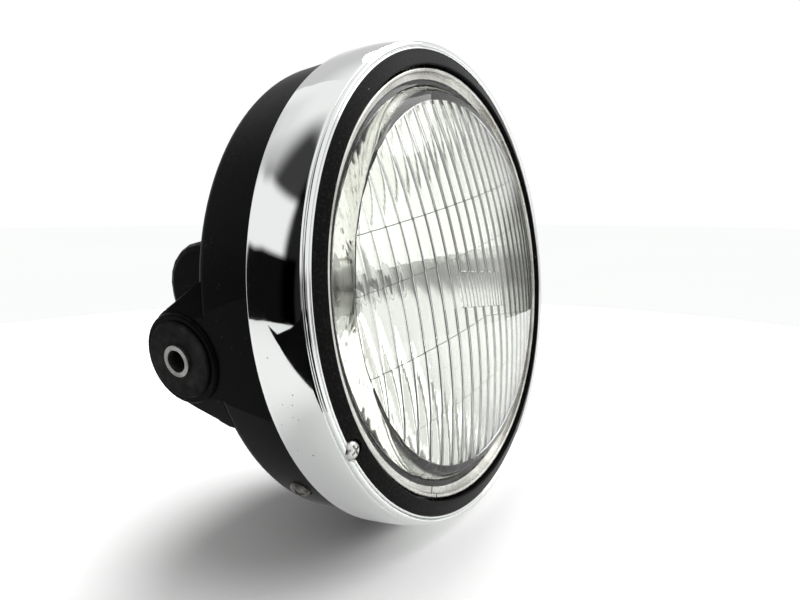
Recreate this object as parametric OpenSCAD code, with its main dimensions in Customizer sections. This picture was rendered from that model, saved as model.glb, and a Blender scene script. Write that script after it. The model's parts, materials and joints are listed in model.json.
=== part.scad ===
// Round motorcycle headlight: a chromed rim and a lamp unit that tilts sideways, on a black moulded bucket.
// The beam points along -Y. Depths run backwards, along +Y, from the bead on the front of the rim.
// Left and right are the rider's, so the right side is at -X.

/* [Lens] */
// Radius of the fluted face
flute_r = 78.3; // [70:0.1:84]
// Width of the smooth conical border round the fluted face
border_w = 4.3; // [3.5:0.1:6]
// Height of the conical border
border_h = 5.5; // [3.5:0.1:7]
// Width of the flat flange that the rings hold
lens_flange_w = 4; // [3:0.1:5.5]
// Radius of curvature of the domed face
dome_r = 300; // [220:5:450]
// Thickness of the glass
glass_t = 3.2; // [2.8:0.1:4.2]
// Pitch of the broad upright flutes
flute_pitch = 7.5; // [5.5:0.1:10]
// Depth of the broad flutes
flute_depth = 0.9; // [0.4:0.1:1.2]
// Pitch of the fine flutes in the centre block
fine_pitch = 2.9; // [2.4:0.1:4]
// Depth of the fine flutes
fine_depth = 0.45; // [0.2:0.05:0.7]
// Step in the glass from one zone of flutes to the next
zone_step = 0.35; // [0.1:0.05:0.5]
// Height of the line under the top zone
top_line_z = 34.4; // [28:0.2:42]
// Height of the upper line of the middle zone
mid_line_z = 14.6; // [11:0.2:20]
// Height of the lower line of the middle zone, before it slants down
low_line_z = -14.5; // [-18:0.2:-12]
// Slant of the lower line to the left of the beam axis, in degrees
slant = 15; // [8:0.5:15]
// Height of the line over the foot zone
foot_line_z = -42.5; // [-50:0.5:-40]
// Half width of the block of fine flutes
block_half_w = 19; // [14:0.5:24]
// Height of that block
block_h = 15; // [10:0.5:17]

/* [Reflector and bulb] */
// Focal length of the reflector
focal = 24; // [22:0.5:27]
// Thickness of the reflector sheet
reflector_t = 0.8; // [0.5:0.1:1.2]
// Thickness of the seal between lens and reflector
seal_t = 0.6; // [0.4:0.1:1]
// Width of the reflector flange
reflector_flange_w = 6; // [5:0.1:7]
// Radius of the neck that takes the bulb
neck_r = 19; // [17:0.5:20]
// Length of the neck behind the bowl
neck_l = 4; // [3:0.5:6]
// Radius of the bulb's mounting flange
bulb_flange_r = 21.5; // [20.5:0.1:22]
// Radius of the glass envelope
envelope_r = 8.5; // [7:0.1:9.5]
// Radius of the bulb's metal cap
cap_r = 11; // [10:0.1:12]
// Length of the cap behind the mounting flange
cap_l = 9; // [7:0.5:12]
// Length of the cap in front of the mounting flange
cap_front_l = 12; // [9:0.5:14]
// Length of the bulb's blades
blade_l = 9; // [7:0.5:11]
// Wire radius of the bulb clip
clip_wire_r = 0.6; // [0.4:0.05:0.8]
// Wall of the rubber boot
boot_t = 1.6; // [1.2:0.1:2.2]

/* [Rings] */
// Sheet thickness of the retaining ring
ring_t = 0.8; // [0.6:0.1:1]
// Overlap of the retaining ring on the lens flange
ring_overlap = 1.9; // [1.2:0.1:2.5]
// Height of the rolled crest above the ring's inner step
crest_h = 2.4; // [1.6:0.1:3]
// Width of the rolled crest
crest_w = 1.9; // [1.5:0.1:2.4]
// Radial room between the lens and the skirt of the ring
lens_room = 1.7; // [1.2:0.1:2.2]
// Width of the clamping flange of both rings
clamp_w = 4.1; // [3.9:0.1:4.6]
// Width of the joint where the ends of the retaining ring meet
joint_gap = 0.6; // [0.3:0.1:1]
// Clock angle of that joint, from +X towards +Z
joint_angle = -120; // [-130:1:-110]
// Sheet thickness of the mounting ring
plate_t = 1.2; // [1:0.1:1.6]
// Depth of the skirt behind the mounting ring
skirt_l = 6.6; // [6:0.1:8]
// Radius of the small screws that clamp the two rings
ring_screw_r = 1.2; // [0.8:0.1:1.3]
// Clock angle of the first of those screws
ring_screw_angle = 38; // [30:1:45]

/* [Aim] */
// Largest sideways tilt of the lamp unit, either way, in degrees
aim_limit = 2.5; // [1:0.1:2.8]
// Radial gap between the rim's lip and the ring inside it
aim_gap = 0.9; // [0.8:0.05:1.2]
// Radius of the pivot pins
pivot_r = 2; // [1.5:0.1:2.2]
// Running clearance of the pivot pins
pivot_play = 0.06; // [0.03:0.01:0.1]
// Radius of the adjusting screw
adjust_r = 2; // [1.6:0.1:2.1]
// Clearance of the nut on the adjusting screw, which lets it tilt
nut_play = 0.45; // [0.4:0.05:0.6]
// Radius of the adjusting screw's head
adjust_head_r = 3.5; // [3:0.1:3.6]
// Clock angle of the adjusting screw, from +X towards +Z
adjust_angle = 200.6; // [195:0.1:212]
// Wire radius of the adjusting spring
spring_wire_r = 0.42; // [0.3:0.02:0.5]
// Turns of the adjusting spring
spring_turns = 4.5; // [3.5:0.5:5]

/* [Rim] */
// Width of the black band inside the bead
band_w = 6; // [5:0.1:8]
// Height of the black band's inner edge in front of the bead
band_h = 2.4; // [1.5:0.1:3]
// Sheet thickness of the rim
rim_t = 0.9; // [0.7:0.05:1]
// Width of the thin bead outside the black band
bead_w = 1; // [0.8:0.1:1.2]
// Width of the rounded nose outside the bead
nose_w = 2.1; // [1.7:0.1:2.3]
// How far the side of the rim stands outside the bead's inner edge
rim_swell = 5.2; // [5:0.1:7]
// Depth of the rim behind the bead
rim_depth = 23; // [22:0.5:28]
// Depth at which the side of the rim starts to curve in towards the front
crown_start = 16; // [13:0.5:18]
// Radius of that curve
crown_r = 58; // [50:1:70]
// Radius of the pan heads that hold the rim
rim_screw_head_r = 4.2; // [3.6:0.1:5]
// Radius of the screws that hold the rim
rim_screw_r = 2.4; // [2:0.1:2.6]
// Clock angle of the left rim screw, from +X towards +Z
rim_screw_angle = -36; // [-50:1:-34]
// Distance of the rim screws behind the front edge of the bucket
rim_screw_back = 16; // [14:0.5:18]

/* [Bucket] */
// Wall thickness of the bucket
wall = 2.8; // [2.2:0.1:3.2]
// Gap between the rim's rear edge and the bucket inside it
rim_fit = 0.3; // [0.2:0.05:0.5]
// How far the rim reaches over the front of the bucket
rim_overlap = 3; // [2.5:0.1:3.4]
// Depth of the bucket's rear shoulder
shoulder_d = 50; // [47:0.5:56]
// How much the bucket's side tapers in from the rim to the shoulder
side_taper = 1.6; // [0.8:0.1:3]
// Width of the step behind the shoulder
shoulder_step = 2.3; // [1.5:0.1:3]
// Radius of the rounded shoulder
shoulder_r = 5; // [3:0.5:7]
// Radius at which the tapered back meets the plane of the flat back
back_flat_r = 46.5; // [44:0.5:54]
// Room for the wires between the bulb's blades and the rear grommet
back_room = 8.4; // [6:0.2:14]
// Radius of the rounding round the flat back
back_r = 24; // [16:1:28]
// Radius of the wiring hole in the back
wiring_r = 14; // [10:0.5:15]
// How far the wiring hole lies below the beam axis
wiring_drop = 14; // [10:0.5:16]
// How far the grommet's lips stand out from the wall
grommet_lip = 3; // [2:0.1:4]

/* [Mounting ears] */
// Depth of the bolt axis behind the bead
bolt_d = 62.5; // [61:0.5:66]
// Depth of the flat on each side of the bucket
flat_cut = 2.8; // [2:0.1:3.2]
// Length of each ear, from its cheek outwards
ear_l = 19; // [17:0.5:21]
// Radius of each ear's round end
ear_r = 18.7; // [17.5:0.1:20]
// Half height of each ear where it leaves the bucket's shoulder
ear_half_h = 27.5; // [25:0.5:30]
// Rounding of each ear's outer edge
ear_edge = 2.4; // [1.5:0.1:3]
// Radius of the raised collar round the bush
collar_r = 17.2; // [16:0.1:18]
// Height of the collar above the ear
collar_h = 1.2; // [0.5:0.1:1.6]
// Radius of the rubber bush in its hole
bush_r = 12.5; // [11:0.1:12.8]
// Radius of the rubber bush's outer flange
bush_flange_r = 14.6; // [14:0.1:15.4]
// Thickness of the bush's outer flange
bush_flange_t = 1.2; // [0.8:0.1:1.6]
// Outer radius of the steel sleeve
sleeve_r = 6; // [5.2:0.1:7]
// Radius of the bolt hole in the sleeve
bolt_hole_r = 4.25; // [3:0.05:4.4]
// Length of the steel sleeve
sleeve_l = 28; // [26:0.5:30]
// Half height of each cheek
cheek_half_h = 38.5; // [34:0.5:40]
// Depth of the rear end of each cheek
cheek_d = 85; // [83:0.5:88]
// Corner radius of each cheek
cheek_r = 19.5; // [14:0.5:22]

/* [Hidden] */
$fn = 96;
fillet_steps = 6;
cut = 0.5;
seat = 0.05;

// Lamp unit, from the glass outwards and from the front backwards
lens_r = flute_r + border_w + lens_flange_w;
ring_in_r = lens_r - ring_overlap;
ring_out_r = lens_r + lens_room + ring_t;
clamp_r = ring_out_r + clamp_w;
step_d = crest_h - ring_t;
lens_d = step_d + ring_t;
seal_d = lens_d + glass_t;
reflector_d = seal_d + seal_t;
plate_d = reflector_d + reflector_t;
skirt_d = plate_d + plate_t;
face_d = lens_d - border_h;
dome_c = face_d + sqrt(dome_r * dome_r - flute_r * flute_r);
front_d = dome_c - dome_r;
glass_in_r = flute_r - glass_t + 0.3;
glass_foot_r = flute_r + border_w - glass_t;
bowl_r = lens_r - 0.2 - reflector_flange_w;
vertex_d = reflector_d + bowl_r * bowl_r / (4 * focal);
neck_d = vertex_d - neck_r * neck_r / (4 * focal);
bulb_d = neck_d + neck_l;
glass_foot_d = bulb_d - cap_front_l - 1;
focus_d = vertex_d - focal;
envelope_tip_d = focus_d - 14;
plate_in_r = lens_r - 2.4;
skirt_r = clamp_r - 1.6;
pivot_d = skirt_d + 3.2;

// Rim, from its lip outwards
lip_r = ring_out_r + aim_gap;
bead_r = lip_r + band_w;
rim_r = bead_r + rim_swell;
nose_r = bead_r + bead_w + nose_w;
nose_d = 0.4;
side_d = 1.2;
hem_w = 1.5;
hem = rim_t + 0.2;

// Adjusting screw, its tab and its spring
adjust_at = bead_r - 0.5;
pocket_d = 0.4;
head_play = 0.3;
pocket_back_d = side_d + rim_t + 0.1;
tab_d = pivot_d - 1.4;
nut_l = 4;
nut_half = 3.2;
tab_r = adjust_at + nut_half + 0.8;
adjust_l = rim_depth - rim_overlap - 0.5 - pocket_d;
spring_play = 0.1;
spring_r = adjust_r + spring_wire_r + spring_play;
notch_r = spring_r + spring_wire_r + 0.5;

// Bucket
bucket_d = rim_depth - rim_overlap;
rim_screw_d = bucket_d + rim_screw_back;
spot_r = rim_screw_head_r + 0.7;
bucket_r = rim_r - hem - rim_fit;
shoulder_at_r = bucket_r - side_taper;
cone_r = shoulder_at_r - shoulder_step - shoulder_r / 2;
bulb_end_d = bulb_d + cap_l + blade_l;
back_d = bulb_end_d + back_room + grommet_lip + wall;
cone_slope = (cone_r - back_flat_r) / (back_d - shoulder_d);
cone_wall = wall * sqrt(1 + cone_slope * cone_slope);
spot_at_r = bucket_outer_r(rim_screw_d) - 0.3;
lug_t = 1.2;
lug_fit = 0.2;
lug_r = bucket_outer_r(rim_screw_d) - wall - lug_fit;
lug_bend_d = bucket_d - lug_t - 0.6;
rim_nut_h = 4;
lug_foot_l = 2.2;
lug_past_screw = 7;
catch_l = 8;
back_end_d = back_d + grommet_lip;

// Ears
ear_x = bucket_r - flat_cut;
cheek_x = ear_x - ear_l;
cheek_in_x = cheek_x - 33;
boss_x = cheek_x - 5;
collar_x = ear_x + collar_h;
bush_x = collar_x + bush_flange_t;
sleeve_x = bush_x + 1;
boss_r = bush_r + 4;
ear_root_d = shoulder_d - 2.5;
ear_root = [ear_half_h, ear_root_d - bolt_d];
ear_taper = acos(ear_r / norm(ear_root)) - atan2(-ear_root.y, ear_root.x);

// The row's origin lies on the beam axis, halfway between the front of the lens and the rear grommet
mid_d = (front_d + back_end_d) / 2;

function unit(v) = v / norm(v);
function turn(a) = a > 180 ? a - 360 : a < -180 ? a + 360 : a;

// Points of the arc that rounds corner b, between a and c, with radius r
function fillet(a, b, c, r) =
    let (u = unit(a - b), v = unit(c - b), half = acos(u * v) / 2,
         o = b + unit(u + v) * r / sin(half), s = b + u * r / tan(half) - o, e = b + v * r / tan(half) - o,
         start = atan2(s.y, s.x), sweep = turn(atan2(e.y, e.x) - start))
    [for (i = [0 : fillet_steps]) let (a = start + sweep * i / fillet_steps) o + r * [cos(a), sin(a)]];

// Outline through corners given as [x, y, radius], with each corner rounded by its radius
function rounded(corners) =
    let (n = len(corners), at = [for (c = corners) [c.x, c.y]])
    [for (i = [0 : n - 1]) each corners[i].z == 0 ? [at[i]]
        : fillet(at[(i + n - 1) % n], at[i], at[(i + 1) % n], corners[i].z)];

function outer_r(d) = d >= crown_start ? rim_r
    : rim_r - crown_r + sqrt(crown_r * crown_r - pow(crown_start - d, 2));

// Revolves an outline given as [radius, depth] about the beam axis
module turned(angle = 360, from = 0) {
    translate([0, -mid_d, 0]) rotate([-90, 0, 0]) rotate([0, 0, -from - angle])
        rotate_extrude(angle = angle) children();
}

// Puts the beam axis and the bead plane at the origin of its children
module on_axis() {
    translate([0, -mid_d, 0]) children();
}

// Local +Z points radially outwards at a clock angle and a depth
module radial(angle, depth) {
    on_axis() rotate([0, -angle, 0]) translate([0, depth, 0]) rotate([0, 90, 0]) children();
}

// Local +Z points backwards along the beam axis, at a clock angle and a distance from it
module behind(angle, distance, depth) {
    on_axis() rotate([0, -angle, 0]) translate([distance, depth, 0]) rotate([-90, 0, 0]) children();
}

// Local +Z points outwards along the bolt axis; side is -1 on the right and 1 on the left
module ear_frame(side) {
    on_axis() translate([0, bolt_d, 0]) rotate([0, side * 90, 0]) children();
}

module cross_recess(size, depth) {
    for (a = [0, 90]) rotate([0, 0, a]) translate([-size, -size / 5, -depth]) cube([2 * size, size / 2.5, depth + 4]);
}

// Pan head of a screw, domed towards -Z, with its seat at z = 0
module pan_head(r, h) {
    difference() {
        rotate_extrude() polygon(concat([[0, 0], [r, 0]], [for (a = [0 : 15 : 90]) [r * cos(a * 0.8), -h * sin(a)]],
                                        [[0, -h]]));
        translate([0, 0, -h * 0.45]) mirror([0, 0, 1]) cross_recess(r * 0.62, 0);
    }
}

// Glass

// Everything behind a scalloped sheet of flutes, which runs parallel to the domed face
module flute_field(pitch, depth, lift, half_w) {
    base = dome_r - glass_t + lift;
    half_n = ceil(half_w / pitch);
    rise = [0, 0.75, 1, 0.75];
    crests = [for (i = [-half_n : half_n - 1]) for (k = [0 : 3])
        let (x = (i + k / 4) * pitch) [sqrt(base * base - x * x) + rise[k] * depth, x]];
    last = half_n * pitch;
    translate([0, dome_c, 0]) rotate([0, 90, 0]) rotate([0, 0, -110]) rotate_extrude(angle = 40, $fn = 720)
        polygon(concat([[dome_r - 60, -last]], crests, [[sqrt(base * base - last * last), last], [dome_r - 60, last]]));
}

// Prism through the glass over an outline given as [x, z]
module zone(outline) {
    translate([0, seal_d + cut, 0]) rotate([90, 0, 0]) linear_extrude(seal_d + cut - front_d) polygon(outline);
}

// The flutes: shallow ones all over, the same ones cut deeper in two bands, and a block of fine ones still deeper
module flutes() {
    far = lens_r + cut;
    slant_end_z = low_line_z - far * tan(slant);
    rise = block_half_w * tan(slant);
    block_z = (mid_line_z + low_line_z) / 2 - 3;
    flute_field(flute_pitch, flute_depth, 0, glass_in_r);
    intersection() {
        flute_field(flute_pitch, flute_depth, zone_step, glass_in_r);
        union() {
            zone([[-far, mid_line_z], [far, mid_line_z], [far, top_line_z], [-far, top_line_z]]);
            zone([[-far, foot_line_z], [far, foot_line_z], [far, slant_end_z], [0, low_line_z], [-far, low_line_z]]);
        }
    }
    intersection() {
        flute_field(fine_pitch, fine_depth, flute_depth, block_half_w);
        zone([[-block_half_w, block_z + rise - block_h / 2], [block_half_w, block_z - rise - block_h / 2],
              [block_half_w, block_z - rise + block_h / 2], [-block_half_w, block_z + rise + block_h / 2]]);
    }
}

module lens() {
    color([0.86, 0.9, 0.86, 0.45]) difference() {
        turned() intersection() {
            polygon([[0, seal_d], [lens_r, seal_d], [lens_r, lens_d], [flute_r + border_w, lens_d],
                     [flute_r - border_w, face_d - border_h], [flute_r - border_w, front_d - 1], [0, front_d - 1]]);
            translate([0, dome_c]) circle(r = dome_r, $fn = 480);
        }
        turned() polygon([[0, seal_d + cut], [glass_foot_r, seal_d + cut], [glass_foot_r, seal_d],
                          [glass_in_r, face_d + glass_t], [0, face_d + glass_t]]);
        on_axis() intersection() {
            rotate([-90, 0, 0]) translate([0, 0, front_d]) cylinder(r = glass_in_r, h = seal_d - front_d);
            flutes();
        }
    }
}

module lens_seal() {
    color("beige") turned() translate([glass_foot_r + 0.2, seal_d]) square([lens_r - glass_foot_r - 0.4, seal_t]);
}

// Rings

module retaining_ring() {
    color("silver") difference() {
        turned() polygon(rounded([[ring_in_r, step_d, 0.2], [ring_out_r - crest_w, step_d, 0.3],
            [ring_out_r - crest_w, step_d - crest_h, 0.6], [ring_out_r, step_d - crest_h, 0.9],
            [ring_out_r, plate_d - ring_t, 0.2], [clamp_r, plate_d - ring_t, 0], [clamp_r, plate_d, 0],
            [ring_out_r - ring_t, plate_d, 0], [ring_out_r - ring_t, lens_d, 0], [ring_in_r, lens_d, 0]]));
        behind(joint_angle, ring_in_r - cut, step_d - crest_h - cut) translate([0, -joint_gap / 2, 0])
            cube([clamp_r - ring_in_r + 2 * cut, joint_gap, plate_d - step_d + crest_h + 2 * cut]);
        for (a = [0 : 3]) behind(ring_screw_angle + 90 * a, (ring_out_r + clamp_r) / 2, plate_d - ring_t - cut)
            cylinder(r = ring_screw_r + seat, h = ring_t + 2 * cut, $fn = 32);
        spring_notch();
    }
}

module mounting_ring() {
    color("gray") difference() {
        union() {
            turned() polygon(rounded([[plate_in_r, plate_d, 0], [clamp_r, plate_d, 0], [clamp_r, skirt_d, 0],
                [skirt_r, skirt_d, 0.4], [skirt_r, skirt_d + skirt_l, 0], [skirt_r - plate_t, skirt_d + skirt_l, 0],
                [skirt_r - plate_t, skirt_d, 0.4], [plate_in_r + plate_t, skirt_d, 0.3],
                [plate_in_r + plate_t, skirt_d + 2, 0], [plate_in_r, skirt_d + 2, 0]]));
            behind(adjust_angle, skirt_r - plate_t / 2, tab_d) adjusting_tab();
        }
        behind(adjust_angle, adjust_at, tab_d - cut) cylinder(r = adjust_r + nut_play + 0.55, h = plate_t + 2 * cut);
        for (a = [-90, 90]) radial(a, pivot_d) translate([0, 0, skirt_r - 3])
            cylinder(r = pivot_r + pivot_play, h = 5);
        for (a = [0 : 3]) behind(ring_screw_angle + 90 * a, (ring_out_r + clamp_r) / 2, plate_d - cut)
            cylinder(r = ring_screw_r + seat, h = plate_t + cut, $fn = 32);
        spring_notch();
    }
}

// Room for the adjusting spring in the clamping flanges of both rings
module spring_notch() {
    behind(adjust_angle, adjust_at, plate_d - ring_t - cut) cylinder(r = notch_r, h = ring_t + plate_t + cut + seat);
}

module adjusting_tab() {
    length = tab_r - skirt_r + plate_t / 2;
    half = nut_half + 2.3;
    linear_extrude(plate_t) polygon(rounded([[0, -half, 0], [length, -half, 2], [length, half, 2], [0, half, 0]]));
}

module ring_screws() {
    color("silver") for (a = [0 : 3])
        behind(ring_screw_angle + 90 * a, (ring_out_r + clamp_r) / 2, plate_d - ring_t) {
            pan_head(ring_screw_r + 0.6, 1.1);
            cylinder(r = ring_screw_r, h = ring_t + plate_t, $fn = 32);
        }
}

// Reflector and bulb

module reflector() {
    rim_rows = 14;
    bowl = [for (i = [0 : rim_rows]) let (r = bowl_r + (neck_r - bowl_r) * i / rim_rows)
        [r, vertex_d - r * r / (4 * focal)]];
    color("gainsboro") turned() polygon(concat(
        [[lens_r - 0.2, reflector_d]], bowl,
        [[neck_r, bulb_d - reflector_t], [bulb_flange_r - 4, bulb_d - reflector_t], [bulb_flange_r - 4, bulb_d],
         [bulb_flange_r + 1, bulb_d], [bulb_flange_r + 1, bulb_d - reflector_t],
         [neck_r + reflector_t, bulb_d - reflector_t]],
        [for (i = [rim_rows : -1 : 0]) bowl[i] + [reflector_t, i == rim_rows ? 0 : reflector_t * 0.6]],
        [[bowl_r + reflector_t, plate_d], [lens_r - 0.2, plate_d]]));
}

module bulb_cap() {
    blade = [8, 0.8, blade_l];
    color("silver") on_axis() {
        rotate([-90, 0, 0]) {
            translate([0, 0, bulb_d]) cylinder(r = bulb_flange_r - 0.6, h = 1);
            translate([0, 0, bulb_d - cap_front_l]) cylinder(r = cap_r, h = cap_front_l + cap_l);
            translate([0, 0, glass_foot_d]) cylinder(r = envelope_r + 1.4, h = bulb_d - cap_front_l - glass_foot_d);
        }
        for (a = [0, 90, 180]) rotate([0, a, 0])
            translate([-blade.x / 2, bulb_d + cap_l, cap_r * 0.6]) cube([blade.x, blade.z, blade.y]);
    }
}

module bulb_envelope() {
    foot = glass_foot_d - envelope_tip_d;
    glass = 0.8;
    color([0.9, 0.93, 0.95, 0.4]) turned() difference() {
        envelope_outline(envelope_r, envelope_tip_d, foot);
        envelope_outline(envelope_r - glass, envelope_tip_d + glass, foot);
    }
}

// Half section of a tube with a round closed end
module envelope_outline(r, tip, foot) {
    polygon(concat([for (a = [0 : 10 : 90]) [r * sin(a), tip + r * (1 - cos(a))]], [[r, tip + foot], [0, tip + foot]]));
}

module bulb_filaments() {
    color("dimgray") on_axis() {
        for (x = [-4, 0, 4]) translate([x, glass_foot_d, -1.2]) rotate([90, 0, 0])
            cylinder(r = 0.45, h = glass_foot_d - focus_d + 7 - abs(x) / 2, $fn = 16);
        translate([0, focus_d - 6.5, -1.2]) rotate([-90, 0, 0]) cylinder(r = 4.6, h = 1.1, $fn = 32);
        translate([0, focus_d - 4, 1.2]) rotate([0, 90, 0]) cylinder(r = 0.9, h = 9, center = true, $fn = 24);
        translate([0, focus_d + 3, 1.2]) rotate([-90, 0, 0]) cylinder(r = 0.9, h = 6, center = true, $fn = 24);
        for (y = [focus_d - 4, focus_d + 3]) for (x = [-4, 4])
            translate([x, y, -1.4]) cylinder(r = 0.4, h = 2.8, $fn = 16);
        translate([0, focus_d + 3, 1.2]) rotate([0, 90, 0]) cylinder(r = 0.4, h = 8.2, center = true, $fn = 16);
    }
}

module bulb_clip() {
    loop_r = cap_r + 4;
    d = bulb_d + 1 + clip_wire_r;
    color("silver") {
        turned(300, 120) translate([loop_r, d]) circle(r = clip_wire_r, $fn = 20);
        for (a = [60, 120]) radial(a, d) translate([0, 0, loop_r]) cylinder(r = clip_wire_r, h = 7, $fn = 20);
    }
}

module bulb_boot() {
    lip = bulb_flange_r + 1;
    clear = 0.25;
    color([0.13, 0.13, 0.13]) turned() polygon([
        [lip + clear, bulb_d - reflector_t - clear], [lip + clear, bulb_d + 3], [cap_r + clear, bulb_d + cap_l - 2.5],
        [cap_r + clear, bulb_d + cap_l + 1], [cap_r + clear + boot_t, bulb_d + cap_l + 1],
        [cap_r + clear + boot_t, bulb_d + cap_l - 1], [lip + clear + boot_t, bulb_d + 4.5],
        [lip + clear + boot_t, bulb_d - reflector_t - clear - boot_t],
        [neck_r + reflector_t + 1, bulb_d - reflector_t - clear - boot_t],
        [neck_r + reflector_t + 1, bulb_d - reflector_t - clear]]);
}

// Aim

module pivot_brackets() {
    plate = 1.2;
    half = 5;
    low = clamp_r + 1.2;
    high = rim_r - rim_t - 0.9;
    color("gray") for (a = [-90, 90]) difference() {
        intersection() {
            radial(a, pivot_d - 3.2) rotate([-90, 0, 0]) linear_extrude(6.4) polygon([
                [-half - 3.5, -high], [-half - 1.2, -high], [-half, -low - plate], [half, -low - plate],
                [half + 1.2, -high], [half + 3.5, -high], [half + 3.5, -high + plate], [half + 2, -high + plate],
                [half + 1.2, -low], [-half - 1.2, -low], [-half - 2, -high + plate], [-half - 3.5, -high + plate]]);
            turned() square([high, rim_depth]);
        }
        radial(a, pivot_d) translate([0, 0, low - cut]) cylinder(r = pivot_r + seat, h = plate + 2 * cut);
    }
}

module pivot_pins() {
    low = clamp_r + 1.2;
    color("silver") for (a = [-90, 90]) radial(a, pivot_d) {
        translate([0, 0, skirt_r - 3]) cylinder(r = pivot_r, h = low + 1.2 - skirt_r + 3);
        translate([0, 0, skirt_r + 0.3]) cylinder(r = pivot_r + 0.6, h = low - skirt_r - 0.3);
        translate([0, 0, low + 1.2]) cylinder(r = pivot_r + 1.2, h = 1.4);
    }
}

module adjusting_screw() {
    color("silver") behind(adjust_angle, adjust_at, pocket_d - seat) {
        pan_head(adjust_head_r, 2.3);
        cylinder(r = adjust_r, h = adjust_l);
    }
}

module adjusting_nut() {
    color("ivory") difference() {
        behind(adjust_angle, adjust_at, tab_d) {
            cylinder(r = adjust_r + nut_play + 0.5, h = plate_t);
            translate([-nut_half, -nut_half, plate_t]) cube([2 * nut_half, 2 * nut_half, nut_l]);
        }
        behind(adjust_angle, adjust_at, tab_d - cut) cylinder(r = adjust_r + nut_play, h = nut_l + plate_t + 2 * cut);
    }
}

module adjusting_spring() {
    sides = 8;
    steps = 18;
    rows = ceil(spring_turns * steps);
    start = pocket_back_d + spring_wire_r + 2 * spring_play;
    rise = tab_d - spring_wire_r - spring_play - start;
    points = [for (i = [0 : rows]) let (a = 360 * spring_turns * i / rows) for (k = [0 : sides - 1])
        let (b = 360 * k / sides, r = spring_r + spring_wire_r * cos(b))
        [r * cos(a), r * sin(a), start + rise * i / rows + spring_wire_r * sin(b)]];
    walls = [for (i = [0 : rows - 1]) for (k = [0 : sides - 1]) let (n = (k + 1) % sides)
        [i * sides + k, (i + 1) * sides + k, (i + 1) * sides + n, i * sides + n]];
    color("silver") behind(adjust_angle, adjust_at, 0)
        polyhedron(points, concat(walls, [[for (k = [0 : sides - 1]) k],
                                          [for (k = [sides - 1 : -1 : 0]) rows * sides + k]]));
}

// Rim

// Section inside the outer face of the rim's side, which curves in towards the front
module side_region() {
    translate([0, crown_start]) square([rim_r, rim_depth - crown_start]);
    intersection() {
        translate([0, -band_h - cut]) square([rim_r, crown_start + band_h + cut]);
        translate([rim_r - crown_r, crown_start]) circle(r = crown_r, $fn = 360);
    }
}

// Points of an arc of a rounded bead, as [radius, depth]
function bead_arc(at_r, at_d, r, end) = [for (a = [0 : 15 : end]) [at_r - r * cos(a), at_d - r * sin(a)]];

// Section of the sheet: lip, black band, bead, rounded nose, groove, side and hem
module rim_section() {
    intersection() {
        side_region();
        polygon(concat(
            rounded([[lip_r, rim_t + 0.5, 0], [lip_r, -band_h, 0.4], [bead_r, 0, 0]]),
            bead_arc(bead_r + bead_w / 2, 0, bead_w / 2, 180),
            bead_arc(nose_r - nose_w / 2, nose_d, nose_w / 2 - 0.05, 195),
            [[nose_r - 0.5, side_d], [outer_r(side_d) - 0.3, side_d], [rim_r, side_d + rim_swell / 2],
             [rim_r + cut, rim_depth], [rim_r - hem, rim_depth], [rim_r - hem, rim_depth - hem_w],
             [rim_r - rim_t, rim_depth - hem_w]],
            [for (d = [crown_start : -2.2 : side_d + rim_t]) [outer_r(d) - rim_t, d]],
            [[nose_r - 0.9, side_d + rim_t], [bead_r, rim_t], [lip_r + rim_t, 1.2 * rim_t - band_h],
             [lip_r + rim_t, rim_t + 0.5]]));
    }
}

module rim() {
    color("silver") difference() {
        union() {
            turned() rim_section();
            intersection() {
                behind(adjust_angle, adjust_at, pocket_d)
                    cylinder(r = adjust_head_r + 1.6, h = pocket_back_d - pocket_d);
                turned() translate([lip_r, pocket_d]) square([nose_r - 0.7 - lip_r, pocket_back_d - pocket_d]);
            }
        }
        behind(adjust_angle, adjust_at, -band_h - 2) cylinder(r = adjust_head_r + head_play, h = pocket_d + band_h + 2);
        behind(adjust_angle, adjust_at, -band_h) cylinder(r = adjust_r + head_play, h = 10);
    }
}

// Strip inside the rim that reaches back along the inside of the bucket, as [radius, depth]
function lug_section(end_d) =
    let (foot_r = rim_r - rim_t - 0.1, foot_d = lug_bend_d - lug_foot_l, bend_r = bucket_r - wall - lug_fit,
         end_r = bucket_outer_r(end_d) - wall - lug_fit)
    [[foot_r, foot_d], [foot_r, lug_bend_d + lug_t], [bend_r, lug_bend_d + lug_t], [end_r, end_d],
     [end_r - lug_t, end_d], [bend_r - lug_t, lug_bend_d], [foot_r - lug_t, lug_bend_d],
     [foot_r - lug_t, foot_d]];

module rim_catch() {
    half = 6;
    color("gray") turned(2 * half, 90 - half) polygon(lug_section(bucket_d + catch_l));
}

module rim_lugs() {
    half = 6;
    color("gray") for (a = [rim_screw_angle, -180 - rim_screw_angle]) difference() {
        turned(2 * half, a - half) polygon(lug_section(rim_screw_d + lug_past_screw));
        radial(a, rim_screw_d) translate([0, 0, lug_r - lug_t - cut]) cylinder(r = rim_screw_r + seat, h = lug_t + 2 * cut);
    }
}

module rim_nuts() {
    color("gray") for (a = [rim_screw_angle, -180 - rim_screw_angle])
        radial(a, rim_screw_d) translate([0, 0, lug_r - lug_t - rim_nut_h - 0.35]) difference() {
            cylinder(r = rim_screw_r + 2.2, h = rim_nut_h, $fn = 6);
            translate([0, 0, -cut]) cylinder(r = rim_screw_r + seat, h = rim_nut_h + 2 * cut);
        }
}

module rim_screws() {
    color("silver") for (a = [rim_screw_angle, -180 - rim_screw_angle]) radial(a, rim_screw_d) {
        translate([0, 0, spot_at_r]) mirror([0, 0, 1]) pan_head(rim_screw_head_r, 2.4);
        translate([0, 0, lug_r - lug_t - rim_nut_h - 1.5])
            cylinder(r = rim_screw_r, h = spot_at_r - lug_r + lug_t + rim_nut_h + 1.5);
    }
}

// Bucket

function bucket_outer_r(d) = bucket_r - side_taper * (d - bucket_d) / (shoulder_d - bucket_d);

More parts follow.
